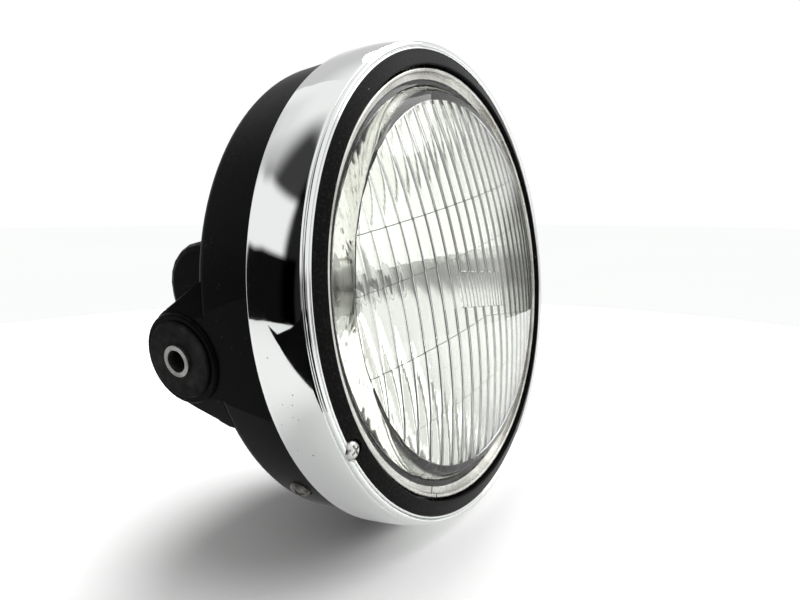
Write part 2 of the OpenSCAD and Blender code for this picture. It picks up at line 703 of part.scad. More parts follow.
module bucket_shell() {
    turned() polygon(concat(rounded([
        [bucket_r, bucket_d, 0.4], [shoulder_at_r, shoulder_d, shoulder_r], [cone_r, shoulder_d + 0.8, 0.5],
        [back_flat_r, back_d, back_r], [0, back_d, 0]]), [[0, bucket_d]]));
}

module bucket_hollow() {
    inner_d = shoulder_d - wall - 2;
    in_d = back_d - wall;
    start_r = cone_r + 0.8 * cone_slope - cone_wall;
    turned() polygon(concat(rounded([
        [bucket_r - wall, bucket_d - cut, 0], [bucket_outer_r(inner_d) - wall, inner_d, 3],
        [start_r, shoulder_d, 1], [start_r - (in_d - shoulder_d) * cone_slope, in_d, back_r - wall], [0, in_d, 0]]),
        [[0, bucket_d - cut]]));
}

// Side outline of an ear: from the bucket's shoulder it narrows to a round end about the bolt
module ear_outline(inset) {
    polygon(rounded([[-ear_half_h + inset, ear_root.y, 0], [ear_half_h - inset, ear_root.y, 0],
                     [0, (ear_r - inset) / sin(ear_taper), ear_r - inset]]));
}

module ear() {
    hull() {
        translate([0, 0, boss_x]) linear_extrude(ear_x - ear_edge - boss_x) ear_outline(0);
        translate([0, 0, boss_x]) linear_extrude(ear_x - 0.3 * ear_edge - boss_x) ear_outline(0.3 * ear_edge);
        translate([0, 0, boss_x]) linear_extrude(ear_x - boss_x) ear_outline(ear_edge);
    }
}

module cheek_outline(inset) {
    high = cheek_half_h - inset;
    rear = cheek_d - bolt_d - inset;
    polygon(rounded([[-high, ear_root.y, 0], [-high, rear, cheek_r - inset], [high, rear, cheek_r - inset],
                     [high, ear_root.y, 0]]));
}

// Rounded block behind an ear, which blends it into the tapered back
module cheek() {
    hull() {
        translate([0, 0, cheek_in_x]) linear_extrude(cheek_x - 3 - cheek_in_x) cheek_outline(0);
        linear_extrude(cheek_x - 1) cheek_outline(1);
        linear_extrude(cheek_x) cheek_outline(3);
    }
}

// Space between the flats on the bucket's sides, whole in front of the given depth
module between_flats(half_x, from) {
    on_axis() translate([-half_x, from, -rim_r]) cube([2 * half_x, back_d, 2 * rim_r]);
    turned() square([rim_r, from]);
}

module bucket() {
    color([0.06, 0.06, 0.065]) difference() {
        union() {
            difference() {
                intersection() {
                    union() {
                        bucket_shell();
                        intersection() {
                            for (side = [-1, 1]) ear_frame(side) ear();
                            turned() square([shoulder_at_r, back_d]);
                        }
                        for (side = [-1, 1]) ear_frame(side) cheek();
                    }
                    between_flats(ear_x, rim_depth + 1);
                }
                intersection() {
                    bucket_hollow();
                    between_flats(ear_x - wall, rim_depth - rim_overlap - cut);
                }
                for (side = [-1, 1]) ear_frame(side) translate([0, 0, cheek_in_x]) linear_extrude(ear_l + 14 - wall)
                    cheek_outline(wall);
            }
            for (side = [-1, 1]) ear_frame(side) {
                translate([0, 0, boss_x]) cylinder(r = boss_r, h = ear_x - boss_x - 1);
                rotate_extrude() polygon(rounded([[0, ear_x - 2, 0], [collar_r + 0.6, ear_x - 2, 0],
                                                  [collar_r, collar_x, 1], [0, collar_x, 0]]));
            }
        }
        for (side = [-1, 1]) ear_frame(side) translate([0, 0, boss_x - cut])
            cylinder(r = bush_r + 0.1, h = collar_x - boss_x + 2 * cut);
        for (a = [rim_screw_angle, -180 - rim_screw_angle]) radial(a, rim_screw_d) {
            translate([0, 0, bucket_r - wall - 4]) cylinder(r = rim_screw_r + 0.3, h = wall + 8);
            translate([0, 0, spot_at_r]) cylinder(r = spot_r, h = 4);
        }
        on_axis() translate([0, back_d - wall - cut, -wiring_drop]) rotate([-90, 0, 0])
            cylinder(r = wiring_r, h = wall + 2 * cut);
    }
}

module bush(side) {
    inner_x = boss_x + 1;
    color([0.1, 0.1, 0.1]) ear_frame(side) rotate_extrude() polygon(rounded([
        [sleeve_r + seat, inner_x, 0], [bush_r, inner_x, 0.8], [bush_r, collar_x + seat, 0],
        [bush_flange_r, collar_x + seat, 0.4], [bush_flange_r, bush_x, 0.7], [sleeve_r + seat, bush_x, 0]]));
}

module sleeve(side) {
    color("silver") ear_frame(side) difference() {
        translate([0, 0, sleeve_x - sleeve_l]) cylinder(r = sleeve_r, h = sleeve_l);
        translate([0, 0, sleeve_x - sleeve_l - cut]) cylinder(r = bolt_hole_r, h = sleeve_l + 2 * cut);
    }
}

module right_bush() { bush(-1); }
module left_bush() { bush(1); }
module right_sleeve() { sleeve(-1); }
module left_sleeve() { sleeve(1); }

module wiring_grommet() {
    groove = seat * 2;
    bore = wiring_r - 6;
    color([0.12, 0.12, 0.12]) on_axis() translate([0, 0, -wiring_drop]) rotate([-90, 0, 0]) rotate_extrude()
        polygon(rounded([[bore, back_d - wall - 3, 0.8], [wiring_r + 1.5, back_d - wall - 3, 1],
            [wiring_r + 1.5, back_d - wall - groove, 0.3], [wiring_r - groove, back_d - wall - groove, 0],
            [wiring_r - groove, back_d + groove, 0], [wiring_r + 2.5, back_d + groove, 0.3],
            [wiring_r + 1.5, back_end_d, 1.2], [bore, back_end_d, 0.8]]));
}

bucket();
rim();
rim_catch();
rim_lugs();
rim_nuts();
rim_screws();
pivot_brackets();
pivot_pins();
adjusting_screw();
adjusting_spring();
adjusting_nut();
retaining_ring();
mounting_ring();
ring_screws();
lens();
lens_seal();
reflector();
bulb_cap();
bulb_envelope();
bulb_filaments();
bulb_clip();
bulb_boot();
right_bush();
left_bush();
right_sleeve();
left_sleeve();
wiring_grommet();
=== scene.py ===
import json
import math

import bmesh
import bpy
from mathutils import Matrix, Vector


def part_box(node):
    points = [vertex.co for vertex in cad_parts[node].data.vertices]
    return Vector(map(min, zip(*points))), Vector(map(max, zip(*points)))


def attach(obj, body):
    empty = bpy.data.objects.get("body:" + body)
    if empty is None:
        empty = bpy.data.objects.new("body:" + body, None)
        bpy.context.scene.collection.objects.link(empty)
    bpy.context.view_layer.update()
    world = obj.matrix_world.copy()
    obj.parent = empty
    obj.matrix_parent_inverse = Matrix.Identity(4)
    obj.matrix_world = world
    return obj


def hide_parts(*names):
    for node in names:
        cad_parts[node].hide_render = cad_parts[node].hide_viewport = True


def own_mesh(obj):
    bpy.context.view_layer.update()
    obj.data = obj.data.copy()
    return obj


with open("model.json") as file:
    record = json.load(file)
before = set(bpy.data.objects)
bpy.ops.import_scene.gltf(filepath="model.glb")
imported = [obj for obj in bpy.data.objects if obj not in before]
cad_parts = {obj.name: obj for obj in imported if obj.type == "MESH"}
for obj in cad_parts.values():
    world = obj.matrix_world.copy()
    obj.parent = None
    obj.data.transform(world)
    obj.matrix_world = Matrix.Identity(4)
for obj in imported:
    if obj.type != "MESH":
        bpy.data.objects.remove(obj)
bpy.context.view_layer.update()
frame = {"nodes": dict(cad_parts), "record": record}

# Sizes in millimetres. Depths run backwards from the bead plane of the rim, as in the part's source.
MM = 0.001
LENS_FRONT_D = -13.498
BEAD_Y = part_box("lens")[0].y - LENS_FRONT_D * MM
BEAD_R = 96.0
# The lamp lies rolled to one side with its nose up. UP is the real upright in the lamp's frame.
UP = Vector((0.154, -0.1, 0.983)).normalized()
FLOOR_AT = -103.0
MIDDLE_D = 45


def lamp_point(x, depth, z):
    return Vector((x * MM, BEAD_Y + depth * MM, z * MM))


# Camera

def make_camera():
    data = bpy.data.cameras.new("camera")
    data.lens = 31.5
    data.sensor_width = 36.0
    camera = bpy.data.objects.new("camera", data)
    camera.location = lamp_point(-257.222, -139.964, 64.596)
    camera.rotation_euler = [math.radians(a) for a in (76.74357566, 9.53258238, -58.85786665)]
    bpy.context.scene.collection.objects.link(camera)
    bpy.context.scene.camera = camera


# Materials

class Surface:
    """A Principled material whose colour, roughness and bump come from procedural nodes."""

    def __init__(self, name, color, roughness, metallic=0.0, **sockets):
        self.material = bpy.data.materials.new(name)
        self.material.use_nodes = True
        self.tree = self.material.node_tree
        self.shader = self.tree.nodes["Principled BSDF"]
        self.shader.inputs["Base Color"].default_value = (*color, 1)
        self.shader.inputs["Roughness"].default_value = roughness
        self.shader.inputs["Metallic"].default_value = metallic
        for key, value in sockets.items():
            self.shader.inputs[key.replace("_", " ")].default_value = value
        self.place = self.add("ShaderNodeTexCoord").outputs["Object"]

    def add(self, kind, **values):
        node = self.tree.nodes.new(kind)
        for key, value in values.items():
            setattr(node, key, value)
        return node

    def feed(self, socket, source):
        if isinstance(source, bpy.types.NodeSocket):
            self.tree.links.new(source, socket)
        else:
            socket.default_value = source

    def noise(self, scale, detail=3.0, roughness=0.55, stretch=None):
        node = self.add("ShaderNodeTexNoise")
        node.inputs["Scale"].default_value = scale
        node.inputs["Detail"].default_value = detail
        node.inputs["Roughness"].default_value = roughness
        place = self.place
        if stretch:
            mapping = self.add("ShaderNodeMapping")
            mapping.inputs["Scale"].default_value = stretch
            self.feed(mapping.inputs["Vector"], place)
            place = mapping.outputs["Vector"]
        self.feed(node.inputs["Vector"], place)
        return node.outputs["Fac"]

    def cells(self, scale):
        node = self.add("ShaderNodeTexVoronoi")
        node.inputs["Scale"].default_value = scale
        self.feed(node.inputs["Vector"], self.place)
        return node.outputs["Distance"]

    def span(self, value, low, high, to_low=0.0, to_high=1.0, smooth=False):
        node = self.add("ShaderNodeMapRange", interpolation_type="SMOOTHSTEP" if smooth else "LINEAR")
        for key, number in (("From Min", low), ("From Max", high), ("To Min", to_low), ("To Max", to_high)):
            node.inputs[key].default_value = number
        self.feed(node.inputs["Value"], value)
        return node.outputs["Result"]

    def math(self, operation, a, b=0.0):
        node = self.add("ShaderNodeMath", operation=operation)
        self.feed(node.inputs[0], a)
        self.feed(node.inputs[1], b)
        return node.outputs["Value"]

    def times(self, *values):
        product = values[0]
        for value in values[1:]:
            product = self.math("MULTIPLY", product, value)
        return product

    def either(self, a, b):
        return self.math("MAXIMUM", a, b)

    def blend(self, factor, a, b):
        node = self.add("ShaderNodeMix", data_type="RGBA")
        self.feed(node.inputs["Factor"], factor)
        for socket, value in ((node.inputs[6], a), (node.inputs[7], b)):
            self.feed(socket, (*value, 1) if isinstance(value, tuple) else value)
        return node.outputs[2]

    def lerp(self, factor, a, b):
        node = self.add("ShaderNodeMix", data_type="FLOAT")
        for socket, value in ((node.inputs["Factor"], factor), (node.inputs[2], a), (node.inputs[3], b)):
            self.feed(socket, value)
        return node.outputs[0]

    def parts(self, vector):
        node = self.add("ShaderNodeSeparateXYZ")
        self.feed(node.inputs[0], vector)
        return node.outputs

    def radius(self):
        """Distance from the beam axis, in millimetres."""
        xyz = self.parts(self.place)
        square = self.math("ADD", self.times(xyz[0], xyz[0]), self.times(xyz[2], xyz[2]))
        return self.times(self.math("SQRT", square), 1 / MM)

    def upness(self):
        """1 where the surface of the lying lamp faces up, to 18 degrees off, and 0 from 78 degrees off."""
        normal = self.add("ShaderNodeNewGeometry").outputs["Normal"]
        dot = self.add("ShaderNodeVectorMath", operation="DOT_PRODUCT")
        self.feed(dot.inputs[0], normal)
        dot.inputs[1].default_value = UP
        return self.span(dot.outputs["Value"], 0.2, 0.95, smooth=True)

    def color(self, source):
        self.feed(self.shader.inputs["Base Color"], source)

    def rough(self, source):
        self.feed(self.shader.inputs["Roughness"], source)

    def clear_from_behind(self):
        behind = self.add("ShaderNodeNewGeometry").outputs["Backfacing"]
        clear = self.add("ShaderNodeBsdfTransparent")
        mix = self.add("ShaderNodeMixShader")
        for socket, source in zip(mix.inputs, (behind, self.shader.outputs[0], clear.outputs[0])):
            self.feed(socket, source)
        self.feed(self.tree.nodes["Material Output"].inputs["Surface"], mix.outputs[0])

    def bump(self, *heights):
        """Chains bumps given as (height, distance in millimetres)."""
        normal = None
        for height, distance in heights:
            node = self.add("ShaderNodeBump")
            node.inputs["Distance"].default_value = distance * MM
            self.feed(node.inputs["Height"], height)
            if normal:
                self.feed(node.inputs["Normal"], normal)
            normal = node.outputs["Normal"]
        self.feed(self.shader.inputs["Normal"], normal)


def metal_surface(name, light, dark, rough_low, rough_high, scale=40.0, bump=0.02):
    s = Surface(name, light, rough_low, 1.0)
    tone = s.span(s.noise(scale, 4), 0.35, 0.65)
    s.color(s.blend(tone, dark, light))
    s.rough(s.span(s.noise(scale * 3, 5), 0.3, 0.7, rough_low, rough_high))
    s.bump((s.noise(scale * 25, 2), bump))
    return s.material


def rubber_surface(name, dark, pale):
    s = Surface(name, dark, 0.6, Specular_IOR_Level=0.1)
    dust = s.span(s.noise(90, 5), 0.5, 0.75)
    s.color(s.blend(s.times(dust, 0.6), dark, pale))
    s.rough(s.span(s.noise(300, 4), 0.3, 0.7, 0.5, 0.8))
    s.bump((s.noise(1500, 3), 0.03))
    return s.material


def bucket_surface():
    s = Surface("bucket_plastic", (0.003, 0.003, 0.0034), 0.3, Specular_IOR_Level=0.03)
    haze = s.span(s.noise(18, 5, 0.6), 0.35, 0.7)
    specks = s.span(s.cells(420), 0.16, 0.07)
    specks = s.times(specks, s.span(s.noise(60, 2), 0.52, 0.6))
    scuffs = s.span(s.noise(160, 6, 0.7, (1, 0.25, 1)), 0.66, 0.72)
    scuffs = s.times(scuffs, s.span(s.noise(25, 2), 0.5, 0.62))
    dust = s.times(s.upness(), s.span(s.noise(500, 4, 0.7), 0.4, 0.75), 0.35)
    wear = s.either(s.times(specks, 0.12), s.times(scuffs, 0.15))
    s.color(s.blend(s.either(wear, s.times(dust, 0.12)), (0.003, 0.003, 0.0034), (0.3, 0.29, 0.27)))
    base = s.span(haze, 0, 1, 0.27, 0.4)
    s.rough(s.either(base, s.times(wear, 2.4)))
    s.bump((s.noise(2600, 2), 0.012), (s.noise(45, 2), 0.08))
    return s.material


def rim_surface():
    """Chrome outside the bead, worn black paint on the band inside it."""
    s = Surface("rim_chrome", (0.9, 0.9, 0.9), 0.05, 1.0, Specular_IOR_Level=0.06)
    radius = s.radius()
    painted = s.span(radius, BEAD_R - 0.05, BEAD_R + 0.05, 1, 0)
    chips = s.span(s.noise(210, 5, 0.65), 0.7, 0.715)
    chips = s.times(chips, s.span(s.noise(30, 2), 0.5, 0.6))
    dust = s.times(s.span(s.noise(900, 4, 0.7), 0.5, 0.7), 0.04)
    paint = s.blend(s.either(dust, chips), (0.004, 0.004, 0.004), (0.45, 0.43, 0.4))
    pits = s.times(s.span(s.cells(330), 0.12, 0.06), s.span(s.noise(35, 2), 0.58, 0.62))
    bright = s.blend(pits, (0.82, 0.835, 0.825), (0.12, 0.08, 0.05))
    s.color(s.blend(painted, bright, paint))
    s.feed(s.shader.inputs["Metallic"], s.math("SUBTRACT", 1.0, s.either(painted, pits)))
    haze = s.span(s.noise(70, 5, 0.6), 0.35, 0.75, 0.025, 0.085)
    s.rough(s.lerp(s.either(painted, pits), haze, 0.38))
    s.bump((s.noise(16, 2), 0.05), (s.noise(1200, 2), 0.0008))
    return s.material


def glass_surface(name, tint, grime):
    s = Surface(name, tint, 0.02, Transmission_Weight=1.0, IOR=1.5)
    film = s.span(s.noise(55, 6, 0.65), 0.42, 0.75)
    s.rough(s.span(film, 0, 1, 0.01, 0.05))
    s.color(s.blend(s.times(film, grime * 3), tint, (0.78, 0.79, 0.74)))
    s.bump((s.noise(60, 2), 0.04))
    return s.material


def reflector_surface():
    s = Surface("reflector_metal", (0.9, 0.9, 0.89), 0.1, 1.0)
    s.color(s.blend(s.span(s.noise(30, 4), 0.35, 0.7), (0.95, 0.95, 0.94), (0.87, 0.86, 0.83)))
    s.rough(s.span(s.noise(80, 5), 0.3, 0.7, 0.04, 0.1))
    s.bump((s.noise(25, 2), 0.2))
    return s.material


def tungsten_surface():
    s = Surface("tungsten", (0.3, 0.3, 0.31), 0.5, 1.0)
    s.rough(s.span(s.noise(900, 3), 0.3, 0.7, 0.4, 0.65))
    return s.material


def seal_surface():
    s = Surface("seal_rubber", (0.6, 0.56, 0.43), 0.7)
    s.color(s.blend(s.span(s.noise(120, 4), 0.4, 0.7), (0.64, 0.6, 0.48), (0.42, 0.38, 0.28)))
    s.bump((s.noise(900, 3), 0.03))
    return s.material


def nylon_surface():
    s = Surface("nut_nylon", (0.72, 0.7, 0.62), 0.45, Subsurface_Weight=0.1)
    s.color(s.blend(s.span(s.noise(200, 4), 0.4, 0.7), (0.75, 0.73, 0.66), (0.6, 0.56, 0.46)))
    s.bump((s.noise(1500, 2), 0.02))
    return s.material


def make_materials():
    grey, bright = (0.56, 0.56, 0.54), (0.75, 0.75, 0.74)
    return {
        "bucket_plastic": bucket_surface(),
        "rim_chrome": rim_surface(),
        "plated_steel": metal_surface("plated_steel", (0.62, 0.62, 0.58), (0.42, 0.42, 0.4), 0.3, 0.45),
        "dull_steel": metal_surface("dull_steel", (0.72, 0.72, 0.69), (0.46, 0.45, 0.42), 0.2, 0.36, 60),
        "screw_steel": metal_surface("screw_steel", bright, grey, 0.18, 0.35, 120, 0.01),
        # Dark steel: painted shade for the rim's screws, which lie in the lamp's shade.
        "shade_dark_steel": metal_surface("shade_dark_steel", (0.3, 0.29, 0.27), (0.08, 0.075, 0.07), 0.4, 0.6, 300, 0.02),
        "spring_steel": metal_surface("spring_steel", grey, (0.4, 0.4, 0.4), 0.25, 0.4),
        "nut_nylon": nylon_surface(),
        "lens_glass": glass_surface("lens_glass", (0.975, 0.995, 0.965), 0.04),
        "seal_rubber": seal_surface(),
        "reflector_metal": reflector_surface(),
        "bulb_metal": metal_surface("bulb_metal", (0.66, 0.66, 0.64), grey, 0.25, 0.4),
        "bulb_glass": glass_surface("bulb_glass", (0.98, 0.98, 0.99), 0.02),
        "tungsten": tungsten_surface(),
        "black_rubber": rubber_surface("black_rubber", (0.006, 0.006, 0.006), (0.04, 0.039, 0.036)),
        "sleeve_steel": metal_surface("sleeve_steel", (0.36, 0.36, 0.35), (0.16, 0.155, 0.15), 0.3, 0.5, 150),
    }


# Meshes

def mark_sharp(bm, sharp=40.0):
    """Smooth shading, apart from edges at which the mesh turns by more than the given angle."""
    for face in bm.faces:
        face.smooth = True
    for edge in bm.edges:
        if len(edge.link_faces) == 2:
            edge.smooth = edge.calc_face_angle() < math.radians(sharp)


def make_object(name, points, faces, material, body, node, sharp=40.0):
    """A closed mesh from points in the lamp's millimetres, with corners sharper than the given angle kept."""
    mesh = bpy.data.meshes.new(name)
    mesh.from_pydata([lamp_point(*p) for p in points], [], faces)
    bm = bmesh.new()
    bm.from_mesh(mesh)
    bmesh.ops.remove_doubles(bm, verts=bm.verts, dist=0.002 * MM)
    bmesh.ops.dissolve_degenerate(bm, edges=bm.edges, dist=0.0005 * MM)
    bmesh.ops.recalc_face_normals(bm, faces=bm.faces)
    mark_sharp(bm, sharp)
    bm.to_mesh(mesh)
    bm.free()
    mesh.materials.append(material)
    obj = bpy.data.objects.new(name, mesh)
    bpy.context.scene.collection.objects.link(obj)
    if node:
        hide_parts(node)
        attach(obj, body)
    return obj


def arc(centre_r, centre_d, radius, start, end, step=10):
    """Points of an arc in a half section; 0 degrees points outwards and 90 backwards."""
    count = max(1, round(abs(end - start) / step))
    angles = [math.radians(start + (end - start) * i / count) for i in range(count + 1)]
    return [(centre_r + radius * math.cos(a), centre_d + radius * math.sin(a)) for a in angles]


def revolve(profile, segments):
    """Points and faces of a closed half section [(radius, depth)] turned about the beam axis."""
    angles = [math.radians(360 * i / segments) for i in range(segments)]
    size = len(profile)
    points = [(r * math.cos(a), d, r * math.sin(a)) for a in angles for r, d in profile]
    faces = [(i * size + k, (i + 1) % segments * size + k, (i + 1) % segments * size + (k + 1) % size,
              i * size + (k + 1) % size) for i in range(segments) for k in range(size)
             if profile[k][0] or profile[(k + 1) % size][0]]
    return points, faces


def drilled(obj, cutter):
    """Cuts one object out of another for good."""
    cut = obj.modifiers.new("cut", "BOOLEAN")
    cut.operation = "DIFFERENCE"
    cut.object = cutter
    cut.solver = "MANIFOLD"
    whole = obj.data
    obj.data = bpy.data.meshes.new_from_object(obj.evaluated_get(bpy.context.evaluated_depsgraph_get()))
    obj.modifiers.clear()
    obj.data.name = obj.name
    bpy.data.meshes.remove(whole)
    tool = cutter.data
    bpy.data.objects.remove(cutter)
    bpy.data.meshes.remove(tool)
    bm = bmesh.new()
    bm.from_mesh(obj.data)
    mark_sharp(bm)
    bm.to_mesh(obj.data)
    bm.free()


# Rim: the CAD rim with smooth curves
RIM_R, CROWN_R, CROWN_START, RIM_DEPTH = 101.2, 58.0, 16.0, 23.0
RIM_SHEET = 0.8
SCREW_ANGLE, SCREW_AT = 200.6, 95.5     # place of the adjusting screw, in degrees and millimetres from the axis
SCREW_POCKET = [(0, -6), (3.8, -6), (3.8, 0.05), (3.45, 0.4), (2.3, 0.4), (2.3, 3), (0, 3)]


def crown_angle(depth):
    return -math.degrees(math.asin((CROWN_START - depth) / CROWN_R))


def screw_place():
    turn = math.radians(SCREW_ANGLE)
    return Vector((SCREW_AT * math.cos(turn), 0, SCREW_AT * math.sin(turn)))


def rim_profile():
    crown = RIM_R - CROWN_R
    front = arc(crown, CROWN_START, CROWN_R, crown_angle(1.75), 0, 0.6)
    return ([(90.0, 1.4)] + arc(90.42, -1.78, 0.42, 180, 293, 12) + [(93.2, -1.21), (96.0, 0.0)]
            + arc(96.5, 0, 0.5, 190, 350, 16) + arc(98.05, 0.4, 1.0, 165, 375, 12)
            + [(98.65, 1.2), (98.98, 1.2), (99.25, 1.38)] + front + [(RIM_R, 19.2)]
            + arc(RIM_R - 0.5, RIM_DEPTH - 0.5, 0.5, 0, 90, 15) + [(100.1, 23.0), (100.1, 21.5), (100.3, 21.5)]
            + [(r - RIM_SHEET, d) for r, d in reversed(front[1::3])]
            + [(98.2, 2.1), (96.0, 0.9), (90.9, -1.3), (90.9, 1.4)])


def make_rim(material):
    rim = make_object("rim_shell", *revolve(rim_profile(), 480), material, "housing", "rim", 30.0)
    cutter = make_object("cutter", *revolve(SCREW_POCKET, 48), material, "housing", None)
    for vertex in cutter.data.vertices:
        vertex.co += screw_place() * MM
    drilled(rim, cutter)
    return rim


# Spring on the adjusting screw: the CAD coil with a rounder wire.
SPRING_TURNS, WIRE_R, COIL_R = 4.5, 0.42, 2.52


def make_spring(material):
    low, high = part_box("adjusting_spring")
    first, last = low.y + WIRE_R * MM, high.y - WIRE_R * MM
    foot = screw_place()
    rings, sides = int(SPRING_TURNS * 40), 14
    points, faces = [], []
    for i in range(rings + 1):
        a = 2 * math.pi * SPRING_TURNS * i / rings
        depth = (first + (last - first) * i / rings - BEAD_Y) / MM
        for k in range(sides):
            b = 2 * math.pi * k / sides
            r = COIL_R + WIRE_R * math.cos(b)
            points.append((foot.x + r * math.cos(a), depth + WIRE_R * math.sin(b), foot.z + r * math.sin(a)))
    for i in range(rings):
        faces += [(i * sides + k, (i + 1) * sides + k, (i + 1) * sides + (k + 1) % sides, i * sides + (k + 1) % sides)
                  for k in range(sides)]
    faces += [tuple(range(sides)), tuple(range(rings * sides, (rings + 1) * sides))]
    spring = make_object("coil_spring", points, faces, material, "housing", "adjusting_spring", 60.0)
    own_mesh(spring)
    return spring


# Lens: the CAD lens with smooth flutes. Rows follow the lines between its zones.
DOME_R = 300.0
DOME_C = LENS_FRONT_D + DOME_R
GLASS_T = 3.2
FLUTED_R = 75.4
TOP_LINE, MID_LINE, LOW_LINE, FOOT_LINE = 34.4, 14.6, -14.5, -42.5
SLANT = math.tan(math.radians(15))
BLOCK_HALF_W, BLOCK_H = 19.0, 15.0
BLOCK_Z = (MID_LINE + LOW_LINE) / 2 - 3
STEP_W = 0.12
FLUTE_PITCH, FINE_PITCH = 7.5, 2.9
# Lift of the fluted face, pitch and depth in each kind of zone
SHALLOW, DEEP, BLOCK = (0.0, FLUTE_PITCH, 0.6), (0.35, FLUTE_PITCH, 0.6), (0.9, FINE_PITCH, 0.45)
ZONE_ROWS = (12, 12, 4, 8, 3, 9, 14)
# Conical border and flange, as (radius, depth)
LENS_PROFILE = [(75.4, 0.1), (79.4, 5.6), (86.6, 5.6), (86.6, 2.4), (83.2, 2.4), (82.6, 2.2), (82.1, 1.75)]


def flute_depth(x, z, zone):
    lift, pitch, depth = zone
    part = (x / pitch) % 1.0
    rise = depth * (1 - (2 * part - 1) ** 2)
    across = math.sqrt((DOME_R - GLASS_T + lift) ** 2 - x * x) + rise
    return DOME_C - math.sqrt(across * across - z * z)


def zone_lines(x):
    """Heights of the lines between the zones at one x, from the lowest up."""
    low = LOW_LINE - max(0.0, x) * SLANT
    block = BLOCK_Z - max(-BLOCK_HALF_W, min(BLOCK_HALF_W, x)) * SLANT
    return [FOOT_LINE, low, block - BLOCK_H / 2, block + BLOCK_H / 2, MID_LINE, TOP_LINE]


def zone_of(index, x):
    if index in (1, 5):
        return DEEP
    return BLOCK if index == 3 and abs(x) < BLOCK_HALF_W else SHALLOW


def lens_columns():
    marks = [i * FLUTE_PITCH / 16 for i in range(-160, 161)]
    marks += [i * FINE_PITCH / 10 for i in range(-65, 66)]
    marks += [s * (BLOCK_HALF_W + e) for s in (-1, 1) for e in (-STEP_W, STEP_W)]
    marks = sorted(x for x in marks if abs(x) < FLUTED_R - 0.1)
    columns = [-FLUTED_R]
    for x in marks:
        if x - columns[-1] > 0.05:
            columns.append(x)
    return columns + [FLUTED_R]


def lens_column(x):
    """Points of one column of the fluted face, as (depth, z), from the lower edge of the circle to the upper."""
    reach = math.sqrt(max(0.0, FLUTED_R ** 2 - x * x))
    lines = zone_lines(x)
    edges = [-FLUTED_R] + lines + [FLUTED_R]
    inside = [sum(1 for line in lines if line < z) for z in (-reach, reach)]
    ends = [flute_depth(x, z, zone_of(i, x)) for z, i in zip((-reach, reach), inside)]
    column = []
    for i, count in enumerate(ZONE_ROWS):
        low = edges[i] + (STEP_W if i else 0)
        high = edges[i + 1] - (STEP_W if i < len(ZONE_ROWS) - 1 else 0)
        for k in range(count + 1):
            z = low + (high - low) * k / count
            if z <= -reach:
                column.append((ends[0], -reach))
            elif z >= reach:
                column.append((ends[1], reach))
            else:
                column.append((flute_depth(x, z, zone_of(i, x)), z))
    return column


def make_lens(material):
    columns = lens_columns()
    sheet = [lens_column(x) for x in columns]
    rows = len(sheet[0])
    points = [(x, d, z) for x, column in zip(columns, sheet) for d, z in column]
    faces = [(j * rows + i, (j + 1) * rows + i, (j + 1) * rows + i + 1, j * rows + i + 1)
             for j in range(len(columns) - 1) for i in range(rows - 1)]
    edge = [(x, *sheet[j][-1]) for j, x in reversed(list(enumerate(columns)))]
    edge += [(x, *sheet[j][0]) for j, x in list(enumerate(columns))[1:-1]]
    angles = [math.atan2(p[2], p[0]) for p in edge]
    profile = LENS_PROFILE + [(r, DOME_C - math.sqrt(DOME_R ** 2 - r * r)) for r in (78.6, 78.0, 76)]
    profile += [(r, DOME_C - math.sqrt(DOME_R ** 2 - r * r)) for r in range(70, 5, -8)]
    rings = [[(p[0], p[1], p[2]) for p in edge]]
    rings += [[(r * math.cos(a), d, r * math.sin(a)) for a in angles] for r, d in profile]
    count = len(edge)
    for ring in rings:
        start = len(points)
        points += ring
        if ring is not rings[0]:
            faces += [(start - count + k, start + k, start + (k + 1) % count, start - count + (k + 1) % count)
                      for k in range(count)]
    points.append((0, LENS_FRONT_D, 0))
    last = len(points) - 1
    faces += [(last - count + k, last - count + (k + 1) % count, last) for k in range(count)]
    return make_object("fluted_lens", points, faces, material, "lamp_unit", "lens")


# Stage
NEAR_FLOOR_R, FAR_FLOOR_R = 0.6, 3.0
FAR_FLOOR_DROP = 1.0                    # below the near floor, in millimetres
SHADOW_MIDDLE = lamp_point(-66, 67, -88)
SHADOW_FADE = (0.025, 0.1)              # the floor's glow comes up between these distances from that middle
FLOOR_GLOW, MIRRORED_GLOW = 0.45, 0.3
WALL_R = 1.6
WALL_STEP = 1.0                         # degrees
WORLD_LIGHT, WORLD_SEEN = 0.42, 1.0


def stage_object(name, points, faces, material):
    mesh = bpy.data.meshes.new(name)
    mesh.from_pydata(points, [], faces)
    for face in mesh.polygons:
        face.use_smooth = True
    mesh.materials.append(material)
    obj = bpy.data.objects.new(name, mesh)
    bpy.context.scene.collection.objects.link(obj)
    return obj


def upright_frame():
    """Centre of the lamp and two level directions, for the floor."""
    side = UP.cross(Vector((0, 1, 0))).normalized()
    return lamp_point(0, MIDDLE_D, 0), side, UP.cross(side).normalized()


def hide_from(obj, *rays):
    for ray in rays:
        setattr(obj, "visible_" + ray, False)


def floor_glow(surface, seen, mirrored):
    """Glow for what the camera sees, directly or through glass, and the glow that it sees in metal."""
    path = surface.add("ShaderNodeLightPath").outputs
    direct = surface.times(seen, surface.either(path["Is Camera Ray"], path["Is Transmission Ray"]))
    return surface.either(direct, surface.times(path["Is Glossy Ray"], mirrored))


def make_disc(name, radius, drop, material):
    """Level disc under the lamp, drop millimetres below what it stands on."""
    centre, side, ahead = upright_frame()
    foot = centre + UP * (FLOOR_AT - drop - UP.y * MIDDLE_D) * MM
    count = 96
    ring = [foot + radius * (side * math.cos(2 * math.pi * i / count) + ahead * math.sin(2 * math.pi * i / count))
            for i in range(count)]
    disc = stage_object(name, ring, [tuple(range(count))], material)
    if disc.data.polygons[0].normal.dot(UP) < 0:
        disc.data.flip_normals()
    return disc


